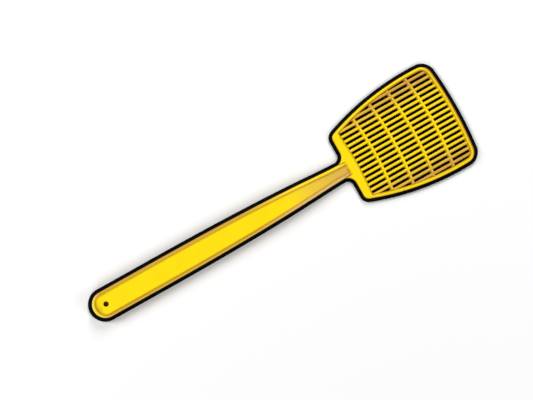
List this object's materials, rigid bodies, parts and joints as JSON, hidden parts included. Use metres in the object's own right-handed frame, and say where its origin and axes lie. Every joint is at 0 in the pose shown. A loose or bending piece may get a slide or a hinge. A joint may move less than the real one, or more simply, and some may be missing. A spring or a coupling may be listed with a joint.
{
  "type": "fly swatter",
  "caption": "Flat fly swatter with a slotted head, a neck that bends and a long railed handle with a hang hole.",
  "frame": {"origin": "below the middle of the whole swatter, on the plane that its back lies on", "axes": "+X from the butt of the handle to the head, +Z from the back to the yellow face"},
  "size_m": [0.47, 0.1282, 0.01],
  "materials": {
    "yellow_plastic": "moulded yellow polypropylene with a low gloss",
    "black_plastic": "moulded black polypropylene with a fine matte grain",
    "zinc_steel": "bright zinc-plated steel"
  },
  "bodies": {
    "handle": {"handle_shell": "yellow_plastic", "handle_back_cover": "black_plastic", "neck_strap": "yellow_plastic", "neck_backing": "black_plastic", "handle_screw_1": "zinc_steel", "handle_screw_2": "zinc_steel", "handle_screw_3": "zinc_steel", "handle_screw_4": "zinc_steel", "neck_root_screw_1": "zinc_steel", "neck_root_screw_2": "zinc_steel"},
    "head": {"head_grille": "yellow_plastic", "head_backing": "black_plastic", "neck_tip_screw_1": "zinc_steel", "neck_tip_screw_2": "zinc_steel", "head_screw_1": "zinc_steel", "head_screw_2": "zinc_steel", "head_screw_3": "zinc_steel", "head_screw_4": "zinc_steel", "head_screw_5": "zinc_steel", "head_screw_6": "zinc_steel", "head_screw_7": "zinc_steel", "head_screw_8": "zinc_steel"}
  },
  "joints": [
    {"name": "head_flex", "type": "hinge", "parent": "handle", "child": "head", "pos_m": [0.07, 0, 0.0035], "axis": [0, -1, 0], "range_deg": [0, 30], "stiffness_Nm_per_rad": 0.8, "deforming": ["neck_strap", "neck_backing"]}
  ]
}
